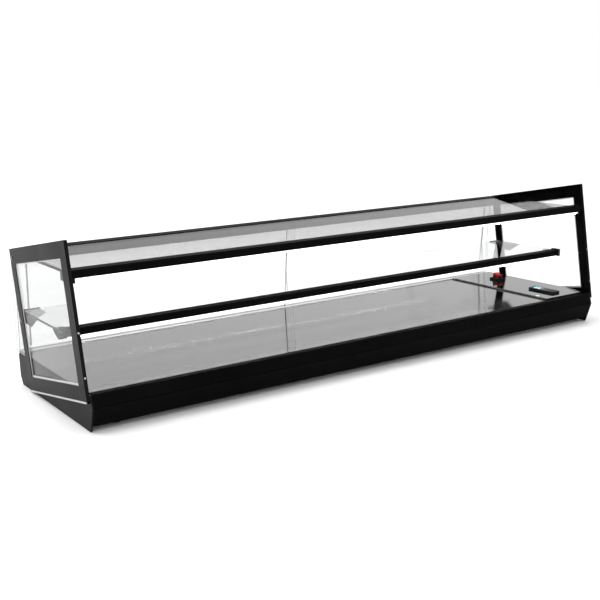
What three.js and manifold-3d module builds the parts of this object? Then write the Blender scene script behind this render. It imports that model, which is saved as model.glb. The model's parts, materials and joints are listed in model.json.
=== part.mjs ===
// Countertop hot food display case: a heated deck base, two glass levels, black framed end panes,
// rear sliding glass doors, LED strips and a control strip with a controller and a rocker switch.
// Millimetres. X runs along the length, Y from the customer side (front) to the back, Z up.
// Side profile points are [y, z]; y = 0 lies a little behind the front crest of the base.
import * as THREE from "three";
import { mergeVertices } from "three/addons/utils/BufferGeometryUtils.js";
import Module from "manifold-3d";

const wasm = await Module();
wasm.setup();

// Overall
const LENGTH = 1400; // outside the two end panes
const CREST = [-4, 50]; // front crest of the base
const REAR = 391; // rear of the base
const MIDDLE = (CREST[0] + REAR) / 2;
const GAP = 0.3; // clearance between neighbouring pieces
const HALF = LENGTH / 2;

// End panes: a rectangle leaning back, black frame outside a clear glass
const TILT = THREE.MathUtils.degToRad(10.3);
const PANE_W = 320;
const PANE_H = 300;
const PANE_CORNER = [1.3, 59.4]; // front bottom corner
const FRAME_FACE = 3; // thickness of the frame's face
const END_T = 7; // frame edge flange, glass included
const BAR_FRONT = 29;
const BAR_REAR = 27;
const BAR_TOP = 32;
const BAR_BOTTOM = 32;
const MARGIN_BOTTOM = 4.2; // glass edge left uncovered by the frame
const MARGIN_REAR = 2.4;

// Base
const SIDE_T = 3;
const SIDE_IN = HALF - END_T - GAP - SIDE_T; // inner face of a base side plate
const INNER = SIDE_IN - GAP; // half length of what lies between the side plates
const BAY = HALF - END_T - 0.4; // half length of what lies between the end glasses
const SHEET = 1.5; // thickness of the folded sheets
const DECK_Z = 75;
const LIP_TOP = 4.1; // front of the base at the deck's height
const SKIRT_Z = 62; // lower edge of the deck's folded skirts
const DECK_FRONT = 19.3;
const DECK_REAR = 361.7;
const PANEL_REAR = 381; // front face of the rear panel
const TRAY_Z = 13.8; // underside of the tray and of the rear panel
const FOOT_H = 13.5;
const GLAND = { x: 620, y: 382.2, z: 28, r: 7.6 };

// Control strip at the right end of the deck
const STRIP_X = 547;
const STRIP_Z = 79;
const SEAM = 1.9; // joint between the deck and the strip, filled by a seal
const CONTROLLER = { x: 610.5, y: 86, w: 27, l: 80, top: 84.3 };
const SCREEN = { w: 18.8, from: 1.3, to: 34.7, sunk: 0.2 }; // along the controller's rear half
const BUTTON = { half: 3.2, pocket: 3.6, proud: 0.7, tall: 2.9 };
const BUTTONS = [
  [-5.2, -30],
  [5.2, -30],
  [-5.2, -17],
  [5.2, -17],
];
const SWITCH = { x: 627, y: 268, w: 26, l: 33, top: 84, pivot: 80 };
const WELL = { w: 17.8, l: 24.4, floor: 66 };
const ROCKER = { w: 17.2, r: 10.7, end: 16.5, dip: 13.3, lean: 12 };

// Shelves and rails
const TOP_GLASS = { z: 290, t: 6, front: 48.1, rear: 338 };
const MID_GLASS = { z: 169, t: 5, front: 112.4, rear: 329 };
const TOP_RAIL = { front: 46, flange: 71, low: 284, top: 299.5, t: 1.8 };
const MID_RAIL = { front: 110, flange: 133, foot: 126, low: 161.5, top: 176, t: 1.8 };
const CLIP_T = 8; // thickness of the blocks that hold the rails' ends
const PULL = [662.4, 665]; // door pull, across the door

// Rear doors lean forward a little; both run in the same sill and rail
const DOOR_LEAN = 0.0822; // forward shift per millimetre of height
const DOOR_T = 4;
const DOOR_OVERLAP = 28;
const DOOR_FOOT = [384.5, 77]; // centre line of the outer door at the sill's top
const DOOR_STEP = 8; // the inner door runs this much nearer the front
const DOOR_BOTTOM = 70.4;
const DOOR_TOP = 286;

const group = new THREE.Group();
const paint = {
  black: [0x111113, 0.35, 0.6],
  steel: [0xb4b6b8, 0.3, 0.9],
  glass: [0xdfeceb, 0.05, 0],
  clear: [0xdddfdf, 0.3, 0],
  rubber: [0x151515, 0.9, 0],
  silver: [0xc9cbcd, 0.35, 0.9],
  white: [0xf7f7f2, 0.5, 0],
  red: [0xc01818, 0.35, 0],
  plastic: [0x18191b, 0.5, 0],
  screen: [0x16303a, 0.2, 0],
  mat: [0x8a4b2a, 0.7, 0],
  wool: [0xcbbf9a, 0.95, 0],
  inner: [0x9da1a3, 0.6, 0.5],
};

// Adds one named piece.
function add(name, geometry, look) {
  const [color, roughness, metalness] = paint[look];
  const material = new THREE.MeshStandardMaterial({ color, roughness, metalness });
  const mesh = new THREE.Mesh(geometry, material);
  mesh.name = name;
  group.add(mesh);
}

// Polygon of [y, z] points, with optional holes, extruded from x0 to x1.
function prism(points, x0, x1, holes = []) {
  const toV = (p) => new THREE.Vector2(p[0] - MIDDLE, p[1]);
  const shape = new THREE.Shape(points.map(toV));
  for (const h of holes) shape.holes.push(new THREE.Path(h.map(toV)));
  const [lo, hi] = x0 < x1 ? [x0, x1] : [x1, x0];
  const g = new THREE.ExtrudeGeometry(shape, { depth: hi - lo, bevelEnabled: false });
  const m = new THREE.Matrix4().makeBasis(
    new THREE.Vector3(0, 1, 0),
    new THREE.Vector3(0, 0, 1),
    new THREE.Vector3(1, 0, 0),
  );
  return g.applyMatrix4(m).translate(lo, 0, 0);
}

// Box between two corners given as [x, y, z].
function block(a, b) {
  const g = new THREE.BoxGeometry(b[0] - a[0], b[1] - a[1], b[2] - a[2]);
  return g.translate((a[0] + b[0]) / 2, (a[1] + b[1]) / 2 - MIDDLE, (a[2] + b[2]) / 2);
}

// Solid of revolution from [radius, height] points, its axis along the given direction.
function turned(profile, at, along = "z", segments = 24) {
  const pts = profile.map((p) => new THREE.Vector2(p[0], p[1]));
  const g = new THREE.LatheGeometry(pts, segments);
  if (along === "z") g.rotateX(Math.PI / 2);
  if (along === "x") g.rotateZ(-Math.PI / 2);
  return g.translate(at[0], at[1] - MIDDLE, at[2]);
}

function toSolid(geometry) {
  const plain = new THREE.BufferGeometry().setAttribute("position", geometry.getAttribute("position"));
  if (geometry.index) plain.setIndex(geometry.index);
  const merged = mergeVertices(plain.index ? plain.toNonIndexed() : plain, 1e-3);
  return new wasm.Manifold(
    new wasm.Mesh({
      numProp: 3,
      vertProperties: new Float32Array(merged.attributes.position.array),
      triVerts: new Uint32Array(merged.index.array),
    }),
  );
}

function toGeometry(solid) {
  const mesh = solid.getMesh();
  const g = new THREE.BufferGeometry();
  g.setAttribute("position", new THREE.BufferAttribute(new Float32Array(mesh.vertProperties), 3));
  g.setIndex(new THREE.BufferAttribute(new Uint32Array(mesh.triVerts), 1));
  const flat = g.toNonIndexed();
  flat.computeVertexNormals();
  return flat;
}

// Base geometry with pieces joined to it and tools cut from it.
function carve(base, tools, joined = []) {
  let solid = toSolid(base);
  for (const j of joined) solid = solid.add(toSolid(j));
  for (const t of tools) solid = solid.subtract(toSolid(t));
  return toGeometry(solid);
}

// Point of the leaning pane: a along its depth, b up its height.
function pane(a, b) {
  const [s, c] = [Math.sin(TILT), Math.cos(TILT)];
  return [PANE_CORNER[0] + a * c + b * s, PANE_CORNER[1] - a * s + b * c];
}

// Rectangle in pane coordinates with rounded corners.
function paneRect(a0, a1, b0, b1, r) {
  const out = [];
  const centres = [
    [a1 - r, b0 + r, -90],
    [a1 - r, b1 - r, 0],
    [a0 + r, b1 - r, 90],
    [a0 + r, b0 + r, 180],
  ];
  for (const [ca, cb, start] of centres) {
    for (let k = 0; k <= 4; k++) {
      const t = THREE.MathUtils.degToRad(start + k * 22.5);
      out.push(pane(ca + r * Math.cos(t), cb + r * Math.sin(t)));
    }
  }
  return out;
}

function bySide(name, make, look) {
  for (const [tag, s] of [["l", -1], ["r", 1]]) add(`${name}_${tag}`, make(s), look);
}

// ---- Base ----

function baseSide(s) {
  const top = DECK_Z - GAP;
  const outline = [[11.5, 1], [380, 1], [REAR, 18], [REAR, 66], [381, top], [LIP_TOP, top], CREST];
  return prism(outline, s * SIDE_IN, s * (SIDE_IN + SIDE_T));
}

function baseTray() {
  const [front, rear, z] = [12.5, PANEL_REAR - 1, TRAY_Z];
  return prism(
    [
      [front, z], [rear, z], [rear, 19], [rear - SHEET, 19], [rear - SHEET, z + SHEET],
      [front + SHEET, z + SHEET], [front + SHEET, 47], [front, 47],
    ],
    -INNER,
    INNER,
  );
}

function rearPanel() {
  const plate = block([-INNER, PANEL_REAR, TRAY_Z], [INNER, PANEL_REAR + SHEET, 59.6]);
  const [slotL, slotH, pitch, rows] = [32, 4, 46, [44, 51]];
  const cuts = [];
  for (let i = 0; i < 14; i++) {
    const x = -640 + i * pitch;
    for (const z of rows) cuts.push(block([x, PANEL_REAR - 2, z], [x + slotL, PANEL_REAR + 3, z + slotH]));
  }
  const hole = GLAND.r + 0.4;
  cuts.push(turned([[0, -5], [hole, -5], [hole, 5], [0, 5]], [GLAND.x, GLAND.y, GLAND.z], "y"));
  return carve(plate, cuts);
}

function frontPanel() {
  const top = CREST[1];
  return prism(
    [
      [9, 11.5], [24, 11.5], [24, 13.4], [11, 13.4], [CREST[0] + 2.6, top - 1.9],
      [17, top - 1.9], [17, top], CREST,
    ],
    -INNER,
    INNER,
  );
}

function frontLip() {
  const slope = (LIP_TOP - CREST[0]) / (DECK_Z - CREST[1]);
  const at = (z) => CREST[0] + (z - CREST[1]) * slope;
  const [low, under, thick] = [CREST[1] + 1, DECK_Z - 2, 2];
  return prism(
    [
      [at(low), low], [at(low) + thick, low], [at(under) + thick, under], [17, under], [17, 60],
      [19, 60], [19, DECK_Z], [LIP_TOP + 1.2, DECK_Z], [at(DECK_Z - 1), DECK_Z - 1],
    ],
    -INNER,
    INNER,
  );
}

function deckPlate() {
  const [front, rear, under] = [DECK_FRONT + SHEET, DECK_REAR - SHEET, DECK_Z - SHEET];
  return prism(
    [
      [DECK_FRONT, SKIRT_Z], [front, SKIRT_Z], [front, under], [rear, under],
      [rear, SKIRT_Z], [DECK_REAR, SKIRT_Z], [DECK_REAR, DECK_Z], [DECK_FRONT, DECK_Z],
    ],
    -INNER,
    STRIP_X - SEAM,
  );
}

// Cut-out that lies within an instrument's bezel on all sides.
function cutOut({ x, y, w, l }, sideRim, endRim) {
  const [a, b] = [w / 2 - sideRim, l / 2 - endRim];
  return block([x - a, y - b, SKIRT_Z - 2], [x + a, y + b, STRIP_Z + 10]);
}

function controlStrip() {
  const lid = block([STRIP_X, DECK_FRONT, SKIRT_Z], [INNER, DECK_REAR, STRIP_Z]);
  const inside = block(
    [STRIP_X + SHEET, DECK_FRONT + SHEET, SKIRT_Z - 12],
    [INNER - SHEET, DECK_REAR - SHEET, STRIP_Z - SHEET],
  );
  return carve(lid, [inside, cutOut(CONTROLLER, 2.5, 6), cutOut(SWITCH, 2.3, 2.3)]);
}

// Black sealant bead between the deck and the strip.
function jointSeal() {
  const [lo, hi] = [STRIP_X - SEAM + 0.1, STRIP_X - 0.1];
  return block([lo, DECK_FRONT + 0.5, SKIRT_Z + 4], [hi, DECK_REAR - 0.5, DECK_Z + 0.9]);
}

function rearSill() {
  return prism(
    [
      [362, 60], [389.5, 60], [389, 77], [387, 77], [387.6, 70], [382.6, 70], [382, 77],
      [379, 77], [379.6, 70], [374.6, 70], [374, 77], [362, 77],
    ],
    -INNER,
    INNER,
  );
}

function foot(x, y) {
  const profile = [[0, 0], [13, 0], [15, 2], [14, FOOT_H], [0, FOOT_H]];
  return turned(profile, [x, y, 0], "z");
}

// ---- Inside the base ----

function heaterMat() {
  return block([-640, 60, 71.6], [500, 320, DECK_Z - SHEET - GAP]);
}

function insulationBoard() {
  return block([-670, 32, 48], [530, 350, 71.3]);
}

function terminalBox() {
  const box = block([570, 140, 15.6], [660, 210, 46]);
  const inside = block([573, 143, 18], [657, 207, 43]);
  const wireHole = block([605, 205, 28], [615, 212, 38]);
  return carve(box, [inside, wireHole]);
}

function cableGland() {
  const { x, y, z, r } = GLAND;
  const profile = [
    [0, -8], [r, -8], [r, 0.8], [10, 0.8], [10, 4.5], [7.5, 8.2], [4, 8.2], [4, 0], [0, 0],
  ];
  return turned(profile, [x, y, z], "y");
}

// ---- Controls ----

function controllerBody() {
  const { x, y, w, l, top } = CONTROLLER;
  const base = STRIP_Z + GAP;
  const bezel = block([x - w / 2, y - l / 2, base], [x + w / 2, y + l / 2, top]);
  const body = block([x - w / 2 + 3, y - l / 2 + 6.5, 42], [x + w / 2 - 3, y + l / 2 - 6.5, base + 0.5]);
  const half = SCREEN.w / 2 + GAP;
  const cuts = [
    block([x - half, y + SCREEN.from - GAP, top - 2.2], [x + half, y + SCREEN.to + GAP, top + 2]),
  ];
  const p = BUTTON.pocket;
  for (const [dx, dy] of BUTTONS) {
    cuts.push(block([x + dx - p, y + dy - p, top - 3.4], [x + dx + p, y + dy + p, top + 2]));
  }
  return carve(bezel, cuts, [body]);
}

function controllerScreen() {
  const { x, y, top } = CONTROLLER;
  const half = SCREEN.w / 2;
  return block([x - half, y + SCREEN.from, top - 1.9], [x + half, y + SCREEN.to, top - SCREEN.sunk]);
}

function button(i) {
  const { x, y, top } = CONTROLLER;
  const [dx, dy] = BUTTONS[i];
  const [cx, cy] = [x + dx, y + dy - MIDDLE];
  const s = new THREE.Shape();
  const [h, r] = [BUTTON.half, 1];
  s.moveTo(-h + r, -h).lineTo(h - r, -h).absarc(h - r, -h + r, r, -Math.PI / 2, 0, false);
  s.lineTo(h, h - r).absarc(h - r, h - r, r, 0, Math.PI / 2, false);
  s.lineTo(-h + r, h).absarc(-h + r, h - r, r, Math.PI / 2, Math.PI, false);
  s.lineTo(-h, -h + r).absarc(-h + r, -h + r, r, Math.PI, 1.5 * Math.PI, false);
  return new THREE.ExtrudeGeometry(s, { depth: BUTTON.tall, curveSegments: 4, bevelEnabled: false })
    .translate(cx, cy, top + BUTTON.proud - BUTTON.tall);
}

function switchBody() {
  const { x, y, w, l, top } = SWITCH;
  const base = STRIP_Z + GAP;
  const [a, b] = [w / 2 - 2.6, l / 2 - 2.6];
  const bezel = block([x - w / 2, y - l / 2, base], [x + w / 2, y + l / 2, top]);
  const body = block([x - a, y - b, 48], [x + a, y + b, base + 0.5]);
  const [wx, wy] = [WELL.w / 2, WELL.l / 2];
  const well = block([x - wx, y - wy, WELL.floor], [x + wx, y + wy, top + 6]);
  return carve(bezel, [well], [body]);
}

// Rocker with its rear end up; it turns about X at the switch's pivot.
function rocker() {
  const { x, y, pivot } = SWITCH;
  const { w, r, end, dip } = ROCKER;
  const raw = [];
  for (let k = 0; k <= 10; k++) {
    const t = THREE.MathUtils.degToRad(190 + k * 16);
    raw.push([r * Math.cos(t), r * Math.sin(t)]);
  }
  const half = [[r, end - 1], [r - 1, end], [r / 2, dip + 0.8]];
  raw.push(...half, [0, dip], ...half.map(([a, b]) => [-a, b]).reverse());
  const lean = THREE.MathUtils.degToRad(ROCKER.lean);
  const turnedPts = raw.map(([a, b]) => [
    y + a * Math.cos(lean) - b * Math.sin(lean),
    pivot + a * Math.sin(lean) + b * Math.cos(lean),
  ]);
  return prism(turnedPts, x - w / 2, x + w / 2);
}

// ---- Shelves, rails and lamps ----

function topRail() {
  const { front, flange, low, top, t } = TOP_RAIL;
  return prism(
    [
      [front, low], [flange, low], [flange, low + t], [front + t, low + t], [front + t, top - 3.2],
      [flange, top - 3.2], [flange, top], [front + 1, top], [front, top - 1],
    ],
    -BAY,
    BAY,
  );
}

function midRail() {
  const { front, flange, foot, low, top, t } = MID_RAIL;
  const half = BAY - CLIP_T - GAP;
  return prism(
    [
      [front, low], [foot, low], [foot, low + t], [front + t, low + t], [front + t, top - 1.7],
      [flange, top - 1.7], [flange, top], [front + 0.8, top], [front, top - 0.8],
    ],
    -half,
    half,
  );
}

function rearRail() {
  return prism(
    [
      [330, 272], [357.6, 276], [356.5, 289], [361.5, 289], [362.6, 276], [365.6, 276],
      [364.5, 289], [369.5, 289], [370.6, 276], [373, 276], [371, 297], [338.3, 297],
      [338.3, 289.7], [330, 289.7],
    ],
    -BAY,
    BAY,
  );
}

function shelfGlass({ z, t, front, rear }) {
  return block([-BAY, front, z], [BAY, rear, z + t]);
}

function lamp(y, z) {
  return prism([[y, z], [y + 12, z], [y + 12, z + 3.4], [y, z + 3.4]], -BAY + 9, BAY - 9);
}

function topBracket(s) {
  return prism(
    [[52, 274], [99, 274], [99, 289.7], [71.5, 289.7], [71.5, 283.6], [52, 283.6]],
    s * (BAY - CLIP_T),
    s * BAY,
  );
}

// Holds the rail's end, grips the shelf's corner and hooks back under the shelf.
function midClip(s) {
  return prism(
    [
      [108.5, 160], [127, 160], [131, 153.5], [136, 152.5], [150, 159], [161, 166],
      [161, 168.6], [112, 168.6], [112, 174.4], [132, 174.4], [132, 178.4], [108.5, 178.4],
    ],
    s * (BAY - CLIP_T),
    s * BAY,
  );
}

// Flat gusset under the shelf's rear corner, a flange down the end glass and a stop behind the shelf.
function shelfBracket(s) {
  const [under, top] = [166.6, 168.6];
  const flange = prism([[253, top], [330, top], [325, 149], [288, 147]], s * (BAY - 2), s * BAY);
  const gusset = new THREE.Shape(
    [[BAY - 1, 253], [BAY - 36, 296], [BAY - 36, 331], [BAY - 1, 331]].map(
      ([x, y]) => new THREE.Vector2(s * x, y - MIDDLE),
    ),
  );
  const plate = new THREE.ExtrudeGeometry(gusset, { depth: top - under, bevelEnabled: false });
  const [x0, x1] = s > 0 ? [BAY - 36, BAY] : [-BAY, -BAY + 36];
  const stop = block([x0, MID_GLASS.rear + GAP, under], [x1, MID_GLASS.rear + 2.3, 175.6]);
  return carve(flange, [], [plate.translate(0, 0, under), stop]);
}

// ---- Rear doors ----

const doorLine = (z, step) => DOOR_FOOT[0] - step - DOOR_LEAN * (z - DOOR_FOOT[1]);

function doorGlass(s) {
  const step = s > 0 ? DOOR_STEP : 0;
  const h = DOOR_T / 2;
  const [lo, hi] = [doorLine(DOOR_BOTTOM, step), doorLine(DOOR_TOP, step)];
  const outline = [[lo - h, DOOR_BOTTOM], [lo + h, DOOR_BOTTOM], [hi + h, DOOR_TOP], [hi - h, DOOR_TOP]];
  return prism(outline, s * (INNER - GAP), -s * (DOOR_OVERLAP / 2));
}

function doorPull(s) {
  const step = s > 0 ? DOOR_STEP : 0;
  const grip = s > 0 ? 5.4 : 6.8;
  const near = DOOR_T / 2 + 0.02;
  const [lo, hi] = [doorLine(82, step), doorLine(270, step)];
  const outline = [[lo + near, 82], [lo + grip, 82], [hi + grip, 270], [hi + near, 270]];
  return prism(outline, s * PULL[0], s * PULL[1]);
}

// ---- End panes ----

const faceX = (s, x) => s * (HALF - x);

// The front and top edges of the frame fold over the glass.
function endFrame(s) {
  const outer = paneRect(0, PANE_W - MARGIN_REAR, MARGIN_BOTTOM, PANE_H, 1.5);
  const window = paneRect(
    BAR_FRONT, PANE_W - BAR_REAR, BAR_BOTTOM, PANE_H - BAR_TOP, 1.5,
  ).reverse();
  const face = prism(outer, faceX(s, FRAME_FACE), faceX(s, 0), [window]);
  const edge = [
    pane(1.5, MARGIN_BOTTOM), pane(4, MARGIN_BOTTOM), pane(4, PANE_H - 4),
    pane(PANE_W - MARGIN_REAR - 1.5, PANE_H - 4), pane(PANE_W - MARGIN_REAR - 1.5, PANE_H), pane(1.5, PANE_H),
    pane(0, PANE_H - 1.5), pane(0, MARGIN_BOTTOM + 1.5),
  ];
  return carve(face, [], [prism(edge, faceX(s, END_T), faceX(s, FRAME_FACE - 1))]);
}

// The glass closes the wedge behind the frame, up to the rear doors.
function endGlass(s) {
  const [ry, rz] = [pane(PANE_W, 0), pane(PANE_W, 74)];
  const outline = [
    pane(4.3, 0), ry, rz, [389.6, DECK_Z + 0.4], [372.2, 292.6], pane(PANE_W - 1, PANE_H - 4.3),
    pane(4.3, PANE_H - 4.3),
  ];
  return prism(outline, faceX(s, END_T), faceX(s, FRAME_FACE + GAP));
}

function glazingSeal(s) {
  const w = [BAR_FRONT + GAP, PANE_W - BAR_REAR - GAP, BAR_BOTTOM + GAP, PANE_H - BAR_TOP - GAP];
  const outer = paneRect(w[0], w[1], w[2], w[3], 1.2);
  const inner = paneRect(w[0] + 1.8, w[1] - 2.2, w[2] + 4.2, w[3] - 1.6, 0.6).reverse();
  return prism(outer, faceX(s, FRAME_FACE - 0.02), faceX(s, 1.6), [inner]);
}

// Light strip along the glass's lower edges, from the deck's height down and to the front.
function edgeTrim(s) {
  const e = MARGIN_REAR - GAP;
  const outline = [
    pane(8, 0), pane(PANE_W, 0), pane(PANE_W, 73), pane(PANE_W - e, 73),
    pane(PANE_W - e, MARGIN_BOTTOM - GAP), pane(8, MARGIN_BOTTOM - GAP),
  ];
  return prism(outline, faceX(s, FRAME_FACE - 0.02), faceX(s, 1));
}

function boltHead(s, a, b) {
  const [y, z] = pane(a, b);
  const p = [[0, 0.02], [3.6, 0.02], [3.6, 0.7], [2.6, 1.4], [0, 1.4]];
  const profile = s > 0 ? p : p.map(([r, h]) => [r, -h]).reverse();
  return turned(profile, [s * HALF, y, z], "x", 20);
}

// Small round head on the frame's front edge.
function edgeScrew(s, b) {
  const [y, z] = pane(0, b);
  const g = new THREE.LatheGeometry(
    [[0, 0.02], [1.9, 0.02], [1.9, 0.5], [1.2, 1], [0, 1]].map((p) => new THREE.Vector2(...p)), 16,
  );
  g.rotateX(Math.PI - TILT);
  return g.translate(s * (HALF - 3.5), y - MIDDLE, z);
}

// Domed head that holds the control strip's lid down.
function stripScrew() {
  return turned([[0, 0.02], [4, 0.02], [4, 1], [3, 1.8], [0, 1.8]], [553, 56, STRIP_Z], "z");
}

// ---- Assembly ----

bySide("base_side", baseSide, "black");
add("base_tray", baseTray(), "inner");
add("rear_panel", rearPanel(), "black");
add("front_panel", frontPanel(), "black");
add("front_lip", frontLip(), "black");
add("deck_plate", deckPlate(), "steel");
add("control_strip", controlStrip(), "steel");
add("joint_seal", jointSeal(), "rubber");
add("rear_sill", rearSill(), "silver");
for (const [tag, x, y] of [["fl", -630, 48], ["fr", 630, 48], ["bl", -630, 345], ["br", 630, 345]]) {
  add(`foot_${tag}`, foot(x, y), "rubber");
}

add("heater_mat", heaterMat(), "mat");
add("insulation_board", insulationBoard(), "wool");
add("terminal_box", terminalBox(), "plastic");
add("cable_gland", cableGland(), "plastic");

add("controller_body", controllerBody(), "plastic");
add("controller_screen", controllerScreen(), "screen");
BUTTONS.forEach((_, i) => add(`button_${i + 1}`, button(i), "plastic"));
add("switch_body", switchBody(), "plastic");
add("rocker", rocker(), "red");

add("rear_rail", rearRail(), "black");
add("top_rail", topRail(), "black");
add("mid_rail", midRail(), "black");
add("top_shelf", shelfGlass(TOP_GLASS), "glass");
add("mid_shelf", shelfGlass(MID_GLASS), "glass");
add("led_top", lamp(51, 280.3), "white");
add("led_mid", lamp(112, 157.8), "white");
bySide("top_bracket", topBracket, "black");
bySide("mid_clip", midClip, "black");
bySide("shelf_bracket", shelfBracket, "silver");

bySide("door_glass", doorGlass, "glass");
bySide("door_pull", doorPull, "clear");

bySide("end_frame", endFrame, "black");
bySide("end_glass", endGlass, "glass");
bySide("glazing_seal", glazingSeal, "clear");
bySide("edge_trim", edgeTrim, "clear");
bySide("rail_bolt", (s) => boltHead(s, 307, 281), "silver");
bySide("shelf_bolt", (s) => boltHead(s, 307, 152), "silver");
bySide("edge_screw_low", (s) => edgeScrew(s, 48), "silver");
bySide("edge_screw_high", (s) => edgeScrew(s, 131), "silver");
add("strip_screw", stripScrew(), "silver");

export default group;
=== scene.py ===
"""Looks of the hot food display case: materials, fine pieces, floor, light and camera. Metres."""
import json
import math

import bmesh
import bpy
from mathutils import Matrix, Vector

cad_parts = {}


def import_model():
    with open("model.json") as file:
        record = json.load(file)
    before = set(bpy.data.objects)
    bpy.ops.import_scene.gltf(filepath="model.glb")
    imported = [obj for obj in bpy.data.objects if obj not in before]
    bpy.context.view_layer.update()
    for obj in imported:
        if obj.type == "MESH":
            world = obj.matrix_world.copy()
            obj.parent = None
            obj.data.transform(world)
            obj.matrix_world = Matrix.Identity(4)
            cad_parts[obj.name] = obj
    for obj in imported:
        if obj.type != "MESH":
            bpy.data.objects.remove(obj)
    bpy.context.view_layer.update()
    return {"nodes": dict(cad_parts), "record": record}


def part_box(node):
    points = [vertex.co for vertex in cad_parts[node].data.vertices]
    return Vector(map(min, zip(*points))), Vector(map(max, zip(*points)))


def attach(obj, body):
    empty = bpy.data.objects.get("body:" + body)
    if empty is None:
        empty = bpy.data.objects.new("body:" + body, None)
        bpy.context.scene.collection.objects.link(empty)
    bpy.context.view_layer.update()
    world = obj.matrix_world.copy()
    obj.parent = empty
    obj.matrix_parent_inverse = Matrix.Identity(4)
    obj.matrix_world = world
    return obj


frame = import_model()
NODES = frame["nodes"]
MM = 0.001
DOOR_LEAN = 0.0822  # how far a rear door comes forward as it rises


# ---- Material helpers ----


class Tree:
    """Short calls for building one material's node tree."""

    def __init__(self, name):
        self.mat = bpy.data.materials.new(name)
        self.mat.use_nodes = True
        self.tree = self.mat.node_tree
        self.shader = self.tree.nodes["Principled BSDF"]
        self.out = self.tree.nodes["Material Output"]

    def node(self, kind, **values):
        n = self.tree.nodes.new(kind)
        for key, value in values.items():
            if hasattr(n, key):
                setattr(n, key, value)
            else:
                n.inputs[key.replace("_", " ")].default_value = value
        return n

    def link(self, a, b):
        self.tree.links.new(a, b)

    def set(self, **values):
        for key, value in values.items():
            self.shader.inputs[key.replace("_", " ")].default_value = value

    def place(self, scale):
        """Object coordinates stretched by scale, for patterns with a direction."""
        coord = self.node("ShaderNodeTexCoord")
        mapping = self.node("ShaderNodeMapping")
        mapping.inputs["Scale"].default_value = scale
        self.link(coord.outputs["Object"], mapping.inputs["Vector"])
        return mapping.outputs["Vector"]

    def noise(self, scale, stretch=(1, 1, 1), detail=4.0, rough=0.55):
        n = self.node("ShaderNodeTexNoise", Scale=scale, Detail=detail, Roughness=rough)
        self.link(self.place(stretch), n.inputs["Vector"])
        return n.outputs["Fac"]

    def spread(self, value, low, high, start=0.3, end=0.7):
        """Value from start to end becomes low to high."""
        n = self.node("ShaderNodeMapRange")
        for key, number in (("From Min", start), ("From Max", end), ("To Min", low), ("To Max", high)):
            n.inputs[key].default_value = number
        self.link(value, n.inputs["Value"])
        return n.outputs["Result"]

    def tint(self, value, dark, light):
        """Colour between dark and light."""
        n = self.node("ShaderNodeMix", data_type="RGBA")
        n.inputs["A"].default_value = (*dark, 1)
        n.inputs["B"].default_value = (*light, 1)
        self.link(value, n.inputs["Factor"])
        return n.outputs["Result"]

    def sum(self, a, b, kind="ADD"):
        n = self.node("ShaderNodeMath", operation=kind)
        for socket, value in zip(n.inputs, (a, b)):
            if isinstance(value, float):
                socket.default_value = value
            else:
                self.link(value, socket)
        return n.outputs["Value"]

    def bump(self, value, strength, distance):
        n = self.node("ShaderNodeBump", Strength=strength, Distance=distance)
        self.link(value, n.inputs["Height"])
        self.link(n.outputs["Normal"], self.shader.inputs["Normal"])

    def color(self, socket):
        self.link(socket, self.shader.inputs["Base Color"])

    def rough(self, socket):
        self.link(socket, self.shader.inputs["Roughness"])


def powder_coat(name, dark, light, rough, level, grain=900.0):
    """Satin powder coat: fine orange peel, faint patches of wear."""
    t = Tree(name)
    t.set(Specular_IOR_Level=level)
    patch = t.noise(7.0, detail=6.0)
    fine = t.noise(grain, detail=2.0)
    t.color(t.tint(t.spread(patch, 0.0, 1.0), dark, light))
    t.rough(t.sum(t.spread(patch, rough - 0.05, rough + 0.07), t.spread(fine, -0.02, 0.02)))
    t.bump(fine, 0.12, 0.0004)
    return t.mat


def polished_steel(name, dark, light, rough, streak=(0.6, 60.0, 60.0), strength=0.02):
    """Rolled steel with faint lengthwise streaks, smears and a few fine scratches."""
    t = Tree(name)
    t.set(Metallic=1.0)
    lines = t.noise(14.0, stretch=streak, detail=5.0, rough=0.7)
    smear = t.noise(5.0, detail=5.0)
    scratch = t.noise(60.0, stretch=(0.15, 3.0, 3.0), detail=1.0)
    cut = t.spread(scratch, 0.0, 0.06, 0.72, 0.78)
    t.color(t.tint(t.spread(lines, 0.0, 1.0), dark, light))
    t.rough(t.sum(t.spread(smear, rough * 0.75, rough * 1.4), cut))
    t.bump(t.sum(lines, cut), strength, 0.0003)
    return t.mat


def glass(name, tone, axis, index=1.5, edge=(0.30, 0.40, 0.37), film=0.02):
    """Clear sheet glass that lamps shine through, with wipe marks. Its polished edges, which face
    away from the sheet's axis, are darker and slightly green."""
    t = Tree(name)
    t.set(Transmission_Weight=1.0, IOR=index)
    wipe = t.noise(3.0, stretch=(1.0, 2.5, 0.7), detail=6.0)
    t.rough(t.spread(wipe, 0.0, film, 0.45, 0.75))
    coord = t.node("ShaderNodeTexCoord")
    split = t.node("ShaderNodeSeparateXYZ")
    t.link(coord.outputs["Normal"], split.inputs["Vector"])
    flat = t.sum(split.outputs[axis], 2.0, "POWER")
    t.color(t.tint(t.spread(flat, 0.0, 1.0, 0.35, 0.75), edge, tone))
    path = t.node("ShaderNodeLightPath")
    clear = t.node("ShaderNodeBsdfTransparent")
    clear.inputs["Color"].default_value = (*[0.5 + 0.5 * c for c in tone], 1)
    mix = t.node("ShaderNodeMixShader")
    t.link(path.outputs["Is Shadow Ray"], mix.inputs["Fac"])
    t.link(t.shader.outputs["BSDF"], mix.inputs[1])
    t.link(clear.outputs["BSDF"], mix.inputs[2])
    t.link(mix.outputs["Shader"], t.out.inputs["Surface"])
    return t.mat


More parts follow.
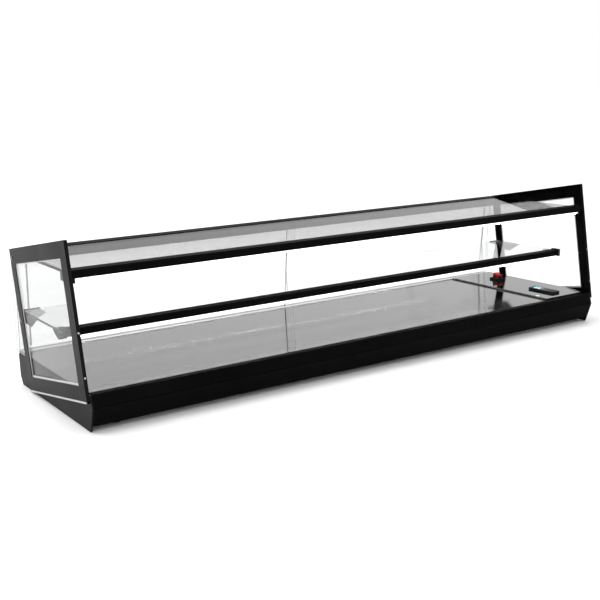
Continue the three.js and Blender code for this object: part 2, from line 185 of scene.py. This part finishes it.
def moulded(name, dark, light, rough, grain=1400.0, strength=0.1, **values):
    """Moulded plastic or rubber with a fine spark-eroded grain."""
    t = Tree(name)
    t.set(**values)
    fine = t.noise(grain, detail=2.0)
    patch = t.noise(30.0, detail=4.0)
    t.color(t.tint(t.spread(patch, 0.0, 1.0), dark, light))
    t.rough(t.sum(t.spread(patch, rough - 0.04, rough + 0.06), t.spread(fine, -0.02, 0.02)))
    t.bump(fine, strength, 0.0002)
    return t.mat


def rocker_red(name):
    """Clear red rocker with painted light and shade: bright red where it faces up, painted dark red on its
    flanks.
    """
    t = Tree(name)
    t.set(Specular_IOR_Level=0.25)
    patch = t.noise(60.0, detail=3.0)
    coord = t.node("ShaderNodeTexCoord")
    split = t.node("ShaderNodeSeparateXYZ")
    t.link(coord.outputs["Normal"], split.inputs["Vector"])
    # painted light and shade: up-facing faces get the bright red, the flanks the dark red
    painted_light_mask = t.spread(split.outputs["Z"], 0.0, 1.0, 0.2, 0.7)
    t.color(t.tint(t.sum(painted_light_mask, t.spread(patch, -0.06, 0.06)), (0.05, 0.001, 0.001), (0.72, 0.016, 0.012)))
    t.rough(t.spread(patch, 0.2, 0.32))
    return t.mat


def glowing(name, tone, power, ripple=0.12, scale=700.0):
    """Lit plastic: its light varies a little over the surface."""
    t = Tree(name)
    t.set(Emission_Color=(*tone, 1), Roughness=0.4)
    fine = t.noise(scale, detail=1.0)
    t.color(t.tint(t.spread(fine, 0.0, 1.0), [c * 0.9 for c in tone], tone))
    t.link(t.spread(fine, power * (1 - ripple), power * (1 + ripple)), t.shader.inputs["Emission Strength"])
    return t.mat


def fibre(name, dark, light):
    """Mineral fibre board with loose strands."""
    t = Tree(name)
    t.set(Sheen_Weight=0.3)
    strands = t.noise(220.0, stretch=(0.3, 1.0, 2.0), detail=6.0, rough=0.7)
    t.color(t.tint(t.spread(strands, 0.0, 1.0), dark, light))
    t.rough(t.spread(strands, 0.85, 0.98))
    t.bump(strands, 0.6, 0.001)
    return t.mat


NEUTRAL = (0.955, 0.962, 0.96)
LOOKS = {
    "black_panel": powder_coat("black_panel", (0.0030, 0.0031, 0.0034), (0.0050, 0.0051, 0.0055), 0.42, 0.09),
    "black_frame": powder_coat("black_frame", (0.0036, 0.0036, 0.0040), (0.0060, 0.0060, 0.0064), 0.34, 0.06,
                               1500.0),
    "deck_steel": polished_steel("deck_steel", (0.218, 0.217, 0.215), (0.250, 0.249, 0.247), 0.07,
                                 strength=0.005),
    "sill_aluminium": polished_steel("sill_aluminium", (0.78, 0.78, 0.78), (0.86, 0.86, 0.86), 0.3),
    "inner_steel": polished_steel("inner_steel", (0.40, 0.42, 0.43), (0.55, 0.57, 0.58), 0.42, (1.0, 1.0, 1.0)),
    "bright_steel": polished_steel("bright_steel", (0.45, 0.45, 0.46), (0.6, 0.6, 0.61), 0.2, strength=0.05),
    "bracket_grey": powder_coat("bracket_grey", (0.10, 0.10, 0.105), (0.14, 0.14, 0.145), 0.4, 0.3),
    "clear_glass": glass("door_glass", NEUTRAL, "Y"),
    "clear_seal": moulded("clear_seal", (0.62, 0.63, 0.63), (0.74, 0.75, 0.75), 0.35, Transmission_Weight=0.25),
    "foot_rubber": moulded("foot_rubber", (0.006, 0.006, 0.006), (0.012, 0.012, 0.012), 0.8, 600.0, 0.3,
                           Specular_IOR_Level=0.2),
    "black_plastic": moulded("black_plastic", (0.003, 0.003, 0.0035), (0.007, 0.007, 0.008), 0.38,
                             Specular_IOR_Level=0.2),
    "screen": moulded("screen", (0.002, 0.006, 0.016), (0.004, 0.012, 0.03), 0.1, strength=0.0,
                      Specular_IOR_Level=0.3),
    "red_rocker": rocker_red("red_rocker"),
    "lamp": glowing("lamp", (1.0, 0.99, 0.965), 1.5),
    "heater_rubber": moulded("heater_rubber", (0.30, 0.10, 0.04), (0.42, 0.16, 0.07), 0.6, 400.0, 0.3),
    "wool": fibre("wool", (0.55, 0.48, 0.3), (0.78, 0.72, 0.52)),
}
SHEETS = {
    "top_shelf": glass("top_glass", (0.48, 0.48, 0.48), "Z", 1.08, (0.2, 0.25, 0.24), 0.03),
    "mid_shelf": glass("mid_glass", NEUTRAL, "Z", 1.4),
    "end_glass_l": glass("end_glass_left", (0.67, 0.67, 0.675), "X", 1.18),
    "end_glass_r": glass("end_glass_right", (0.88, 0.88, 0.88), "X", 1.05),
}
# Darker, less glossy copy of the black paint for the front panel, front lip, rails and right end frame: painted
# shade on these parts.
PAINTED_SHADE_BLACK = powder_coat("black_painted_shade", (0.0016, 0.0016, 0.0018), (0.0030, 0.0030, 0.0034), 0.5, 0.018)
PAINTED_SHADE_NODES = ("front_panel", "front_lip", "rear_rail", "top_rail", "mid_rail", "end_frame_r")
BOLT_NODES = ("rail_bolt_l", "rail_bolt_r", "shelf_bolt_l", "shelf_bolt_r")
BOLT = polished_steel("bolt_steel", (0.08, 0.08, 0.085), (0.13, 0.13, 0.135), 0.25, strength=0.05)
SCREW = polished_steel("screw_steel", (0.82, 0.82, 0.83), (0.92, 0.92, 0.92), 0.35, strength=0.05)


# ---- CAD nodes ----

BEVELS = {  # width in mm by slot
    "black_panel": 0.6, "black_frame": 0.5, "deck_steel": 0.5, "sill_aluminium": 0.25, "black_plastic": 0.5,
    "clear_glass": 0.4, "foot_rubber": 0.6, "screen": 0.1, "red_rocker": 0.5, "bright_steel": 0.15,
}


def bevel(obj, width):
    """Small rounding of the sharp edges, as a modifier, so the CAD mesh stays as it is."""
    mod = obj.modifiers.new("edge", "BEVEL")
    mod.width = width
    mod.segments = 2
    mod.limit_method = "ANGLE"
    mod.angle_limit = math.radians(35)
    mod.use_clamp_overlap = True
    mod.harden_normals = False


def smooth_by_angle(obj, degrees=40):
    bm = bmesh.new()
    bm.from_mesh(obj.data)
    for face in bm.faces:
        face.smooth = True
    for edge in bm.edges:
        edge.smooth = len(edge.link_faces) == 2 and edge.calc_face_angle(0.0) < math.radians(degrees)
    bm.to_mesh(obj.data)
    bm.free()


for part in frame["record"]["subparts"]:
    node = NODES[part["node"]]
    slot_name = part["material_slot"]
    node.data.materials.clear()
    node.data.materials.append(LOOKS[slot_name])
    if slot_name in BEVELS:
        bevel(node, BEVELS[slot_name] * MM)
    if node.name.startswith(("foot", "cable", "rail_bolt", "shelf_bolt", "edge_screw", "strip_screw")):
        smooth_by_angle(node)
for name, sheet_glass in SHEETS.items():
    NODES[name].data.materials[0] = sheet_glass
for names, look in ((PAINTED_SHADE_NODES, PAINTED_SHADE_BLACK), (BOLT_NODES, BOLT), (("strip_screw",), SCREW)):
    for name in names:
        NODES[name].data.materials[0] = look


# ---- Fine pieces ----


def piece(name, bm, material, body, smooth=False):
    """Mesh made of bm, which moves with a body."""
    bmesh.ops.recalc_face_normals(bm, faces=bm.faces[:])
    mesh = bpy.data.meshes.new(name)
    bm.to_mesh(mesh)
    bm.free()
    obj = bpy.data.objects.new(name, mesh)
    bpy.context.scene.collection.objects.link(obj)
    mesh.materials.append(material)
    if smooth:
        smooth_by_angle(obj)
    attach(obj, body)


def prism(bm, outline, up, height, at=(0, 0, 0)):
    """Closed extrusion of a flat outline of (u, v) points along up, one of X, Y or Z."""
    order = {"Z": (0, 1, 2), "X": (1, 2, 0), "Y": (2, 0, 1)}[up]
    rings = []
    for h in (0.0, height):
        ring = []
        for u, v in outline:
            co = [0.0, 0.0, 0.0]
            co[order[0]], co[order[1]], co[order[2]] = u, v, h
            ring.append(bm.verts.new(Vector(co) + Vector(at)))
        rings.append(ring)
    bm.faces.new(rings[0][::-1])
    bm.faces.new(rings[1])
    n = len(outline)
    for i in range(n):
        j = (i + 1) % n
        bm.faces.new((rings[0][i], rings[0][j], rings[1][j], rings[1][i]))


def chip(bm, x, y, z):
    """One LED: a square body with a smaller, lower lens."""
    half, deep, lens = 1.7 * MM, 0.5 * MM, 1.1 * MM
    levels = ((half, 0.0), (half, -deep), (lens, -deep * 2.0), (lens * 0.6, -deep * 2.6))
    rings = []
    for h, dz in levels:
        corners = ((-h, -h), (h, -h), (h, h), (-h, h))
        rings.append([bm.verts.new((x + dx, y + dy, z + dz)) for dx, dy in corners])
    bm.faces.new(rings[0])
    bm.faces.new(rings[-1][::-1])
    for lower, upper in zip(rings, rings[1:]):
        for i in range(4):
            j = (i + 1) % 4
            bm.faces.new((lower[i], lower[j], upper[j], upper[i]))


def led_row(node):
    """Row of LEDs along the underside of a lamp strip."""
    low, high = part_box(node)
    pitch = 8.33 * MM
    count = int((high.x - low.x - pitch) / pitch)
    start = (low.x + high.x - (count - 1) * pitch) / 2
    bm = bmesh.new()
    for i in range(count):
        chip(bm, start + i * pitch, low.y + 2.6 * MM, low.z - 0.02 * MM)
    piece(node + "_chips", bm, CHIP, "case")


def regular(sides, radius, start=0.0):
    return [
        (radius * math.cos(start + math.tau * i / sides), radius * math.sin(start + math.tau * i / sides))
        for i in range(sides)
    ]


def ring_band(bm, sides, inner, outer, low, high, ribs=0.0):
    """Ring round Z from low to high; with ribs, every other outer point lies deeper."""
    def circle(radius, z, rib):
        points = []
        for i in range(sides):
            r = radius - (rib if i % 2 else 0.0)
            a = math.tau * i / sides
            points.append(bm.verts.new((r * math.cos(a), r * math.sin(a), z)))
        return points

    rings = [circle(outer, low, ribs), circle(outer, high, ribs), circle(inner, high, 0), circle(inner, low, 0)]
    for a, b in zip(rings, rings[1:] + rings[:1]):
        for i in range(sides):
            j = (i + 1) % sides
            bm.faces.new((a[i], a[j], b[j], b[i]))


def washer(node, direction):
    """Thin washer round the foot of a screw or bolt head that faces along direction."""
    low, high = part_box(node)
    centre = (low + high) / 2
    axis = Vector(direction)
    spans = high - low
    radius = max(spans) / 2
    foot = centre - axis * (min(spans) / 2)
    turn = Vector((0, 0, 1)).rotation_difference(axis).to_matrix().to_4x4()
    bm = bmesh.new()
    ring_band(bm, 32, radius + 0.05 * MM, radius + 1.2 * MM, 0.0, 0.4 * MM)
    bmesh.ops.transform(bm, matrix=Matrix.Translation(foot) @ turn, verts=bm.verts)
    return bm


def painted_socket_shade():
    """Thin black hexagon on top of the control strip's screw: painted shade standing for the dark hollow of its
    hex socket.
    """
    low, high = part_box("strip_screw")
    centre = (low + high) / 2
    bm = bmesh.new()
    # flat black hexagon on the head: painted shade of the socket's hollow, not a recess
    prism(bm, regular(6, 1.9 * MM), "Z", 0.06 * MM, (centre.x, centre.y, high.z + 0.01 * MM))
    piece("strip_screw_painted_socket_shade", bm, LOOKS["black_plastic"], "case")


def seven_segments(digit):
    """Segments lit for a digit: 0 top, 1 upper right, 2 lower right, 3 bottom, 4 lower left,
    5 upper left, 6 middle."""
    return {"5": "02356", "6": "023456"}[digit]


def display_digits():
    """Lit digits of the temperature, read from the strip's left, and two round signs after them."""
    low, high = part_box("controller_screen")
    tall, wide, bar, gap = 12.5 * MM, 6.4 * MM, 1.7 * MM, 0.25 * MM
    first, pitch, signs, sign_side = 9.0 * MM, 10.0 * MM, 27.0 * MM, 4.6 * MM
    thick = 0.05 * MM
    z = high.z + 0.02 * MM
    middle = (low.x + high.x) / 2
    hw, hh = wide / 2, tall / 2
    places = [
        (0, hh, True), (hw, hh / 2, False), (hw, -hh / 2, False), (0, -hh, True),
        (-hw, -hh / 2, False), (-hw, hh / 2, False), (0, 0, True),
    ]
    for index, digit in enumerate("65"):
        bm = bmesh.new()
        centre = high.y - (first + index * pitch)
        for k in seven_segments(digit):
            across, along, flat = places[int(k)]
            length = (wide if flat else hh) / 2 - gap
            half = bar / 2
            shape = [(-length, 0), (-length + half, half), (length - half, half), (length, 0),
                     (length - half, -half), (-length + half, -half)]
            if not flat:
                shape = [(v, u) for u, v in shape]
            points = [(middle + along + v, centre - across - u) for u, v in shape]
            prism(bm, points, "Z", thick, (0, 0, z))
        piece(f"display_digit_{index + 1}", bm, CYAN if index == 0 else PALE, "case")
    bm = bmesh.new()
    for offset, radius in ((sign_side, 1.1 * MM), (-sign_side, 0.8 * MM)):
        outline = [(middle + offset + u, high.y - signs + v) for u, v in regular(16, radius)]
        prism(bm, outline, "Z", thick, (0, 0, z))
    piece("display_signs", bm, PALE, "case")


def button_mark(name, shape):
    """Printed arrow, dash or dot on a button's top, which moves with it."""
    low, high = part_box(name)
    centre = (low + high) / 2
    bm = bmesh.new()
    outline = [(centre.x + u * MM, centre.y + v * MM) for u, v in shape]
    prism(bm, outline, "Z", 0.04 * MM, (0, 0, high.z + 0.01 * MM))
    piece(name + "_mark", bm, PRINT, name)


def rocker_marks():
    """Moulded bar and ring on the rocker's two ends."""
    low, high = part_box("rocker")
    centre = (low.x + high.x) / 2
    pivot = next(j["pos_m"] for j in frame["record"]["behaviour"]["joints"] if j["name"] == "rocker_tilt")
    lean = Matrix.Rotation(math.radians(12), 4, "X")
    along, up, thick = 7.3 * MM, 15.45 * MM, 0.12 * MM  # place of each mark, from the pivot
    bar_x, bar_y = 2.0 * MM, 0.35 * MM
    slope = math.atan2(2.4, 4.35)  # of the rocker's two ends
    bm = bmesh.new()
    ring_band(bm, 20, 1.5 * MM, 2.1 * MM, 0, thick)
    bmesh.ops.translate(bm, vec=(0, along, up), verts=bm.verts)
    ring = set(bm.verts)
    bar = [(-bar_x, -bar_y), (bar_x, -bar_y), (bar_x, bar_y), (-bar_x, bar_y)]
    prism(bm, bar, "Z", thick, (0, -along, up))
    for verts, side in ((ring, 1), (set(bm.verts) - ring, -1)):
        place = Vector((0, side * along, up))
        tilt = Matrix.Translation(place) @ Matrix.Rotation(side * slope, 4, "X") @ Matrix.Translation(-place)
        bmesh.ops.transform(bm, matrix=tilt, verts=list(verts))
    bmesh.ops.transform(bm, matrix=Matrix.Translation((centre, pivot[1], pivot[2])) @ lean, verts=bm.verts)
    piece("rocker_marks", bm, PRINT, "rocker")


def pull_ridges(side, body):
    """Row of small grip ridges along the outer face of a door pull, which leans with its glass."""
    low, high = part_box("door_pull_" + side)
    left, right = low.x + 0.5 * MM, high.x - 0.5 * MM
    first, last, count = low.z + 12 * MM, high.z - 10 * MM, 44
    bm = bmesh.new()
    for i in range(count):
        z = first + (last - first) * i / (count - 1)
        y = high.y - DOOR_LEAN * (z - low.z)
        profile = ((z - 1.3 * MM, y - 0.15 * MM), (z, y + 0.35 * MM), (z + 1.3 * MM, y - 0.15 * MM))
        ends = [[bm.verts.new((x, b, a)) for a, b in profile] for x in (left, right)]
        bm.faces.new(ends[0])
        bm.faces.new(ends[1][::-1])
        for k in range(3):
            m = (k + 1) % 3
            bm.faces.new((ends[0][k], ends[0][m], ends[1][m], ends[1][k]))
    piece("door_pull_ridges_" + side, bm, LOOKS["clear_seal"], body)


def gland_ribs():
    """Ribbed grip round the gland's cap, and the rubber seal in its mouth."""
    low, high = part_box("cable_gland")
    centre = (low + high) / 2
    turn = Matrix.Rotation(math.radians(-90), 4, "X")
    place = Matrix.Translation((centre.x, high.y, centre.z)) @ turn
    bm = bmesh.new()
    ring_band(bm, 48, 8.9 * MM, 9.9 * MM, -7.6 * MM, -4.2 * MM, 0.5 * MM)
    bmesh.ops.transform(bm, matrix=place, verts=bm.verts)
    piece("gland_ribs", bm, LOOKS["black_plastic"], "case")
    bm = bmesh.new()
    ring_band(bm, 32, 1.6 * MM, 3.8 * MM, -3.4 * MM, -1.0 * MM)
    bmesh.ops.transform(bm, matrix=place, verts=bm.verts)
    piece("gland_seal", bm, LOOKS["foot_rubber"], "case")


CHIP = glowing("chip", (1.0, 0.985, 0.94), 45.0, 0.05)
CYAN = glowing("digit_cyan", (0.18, 0.80, 0.86), 3.0)
PALE = glowing("digit_pale", (0.55, 0.66, 0.95), 2.0)
PRINT = moulded("print", (0.45, 0.46, 0.46), (0.6, 0.6, 0.6), 0.5)

led_row("led_top")
led_row("led_mid")
for name in BOLT_NODES:
    side = -1 if name.endswith("l") else 1
    piece(name + "_washer", washer(name, (side, 0, 0)), BOLT, "case", smooth=True)
piece("strip_screw_washer", washer("strip_screw", (0, 0, 1)), SCREW, "case", smooth=True)
painted_socket_shade()
display_digits()
button_mark("button_1", [(-1.6, -1.1), (-1.6, 1.1), (1.4, 0)])
button_mark("button_2", [(1.6, -1.1), (-1.4, 0), (1.6, 1.1)])
button_mark("button_3", [(-0.4, -1.6), (0.4, -1.6), (0.4, 1.6), (-0.4, 1.6)])
button_mark("button_4", regular(12, 1.3))
rocker_marks()
gland_ribs()
pull_ridges("l", "door_left")
pull_ridges("r", "door_right")


# ---- Floor, light and camera ----


def floor():
    """Wide pale floor, which isn't part of the object."""
    t = Tree("floor")
    mesh = bpy.data.meshes.new("floor")
    half = 30
    corners = [(-half, -half, 0), (half, -half, 0), (half, half, 0), (-half, half, 0)]
    mesh.from_pydata(corners, [], [(0, 1, 2, 3)])
    obj = bpy.data.objects.new("floor", mesh)
    bpy.context.scene.collection.objects.link(obj)
    t.set(Roughness=0.9, Specular_IOR_Level=0.1, Base_Color=(0.93, 0.93, 0.93, 1))
    mesh.materials.append(t.mat)


def area_light(name, place, target, size, power):
    data = bpy.data.lights.new(name, "AREA")
    data.shape = "RECTANGLE"
    data.size, data.size_y = size
    data.energy = power
    obj = bpy.data.objects.new(name, data)
    obj.location = place
    obj.rotation_euler = (Vector(target) - Vector(place)).to_track_quat("-Z", "Y").to_euler()
    bpy.context.scene.collection.objects.link(obj)


def sun():
    """Wide, weak sun light from above and behind that keeps the far floor as pale as the wall."""
    data = bpy.data.lights.new("sky", "SUN")
    data.energy = 0.4
    data.angle = math.radians(60)
    obj = bpy.data.objects.new("sky", data)
    obj.rotation_euler = (math.radians(-25), 0, 0)
    bpy.context.scene.collection.objects.link(obj)


def world():
    """Even white surroundings."""
    w = bpy.data.worlds.new("studio")
    w.use_nodes = True
    background = w.node_tree.nodes["Background"]
    background.inputs["Color"].default_value = (1, 1, 1, 1)
    background.inputs["Strength"].default_value = 1.0
    bpy.context.scene.world = w


def camera():
    """The view of the case from its front left, above its top."""
    yaw, pitch, roll = 0.5961, 0.2631, -0.0175
    ahead = Vector((math.sin(yaw) * math.cos(pitch), math.cos(yaw) * math.cos(pitch), -math.sin(pitch)))
    right = Vector((math.cos(yaw), -math.sin(yaw), 0))
    up = right.cross(ahead)
    turned_right = right * math.cos(roll) + up * math.sin(roll)
    turned_up = up * math.cos(roll) - right * math.sin(roll)
    data = bpy.data.cameras.new("camera")
    data.sensor_width = 36
    data.lens = 57.36
    data.shift_x, data.shift_y = 0.01, 0.0667
    data.clip_start = 0.05
    obj = bpy.data.objects.new("camera", data)
    place = Matrix((turned_right, turned_up, -ahead)).transposed().to_4x4()
    place.translation = (-1.3131, -1.7700, 0.6188)
    obj.matrix_world = place
    bpy.context.scene.collection.objects.link(obj)
    bpy.context.scene.camera = obj


floor()
world()
camera()
sun()
area_light("key", (-0.8, 1.2, 3.2), (0, 0, 0.1), (3.2, 3.2), 70)
area_light("fill", (-1.8, -3.2, 2.2), (0, 0, 0.1), (2.2, 1.6), 8)
bpy.context.scene.view_settings.view_transform = "Standard"
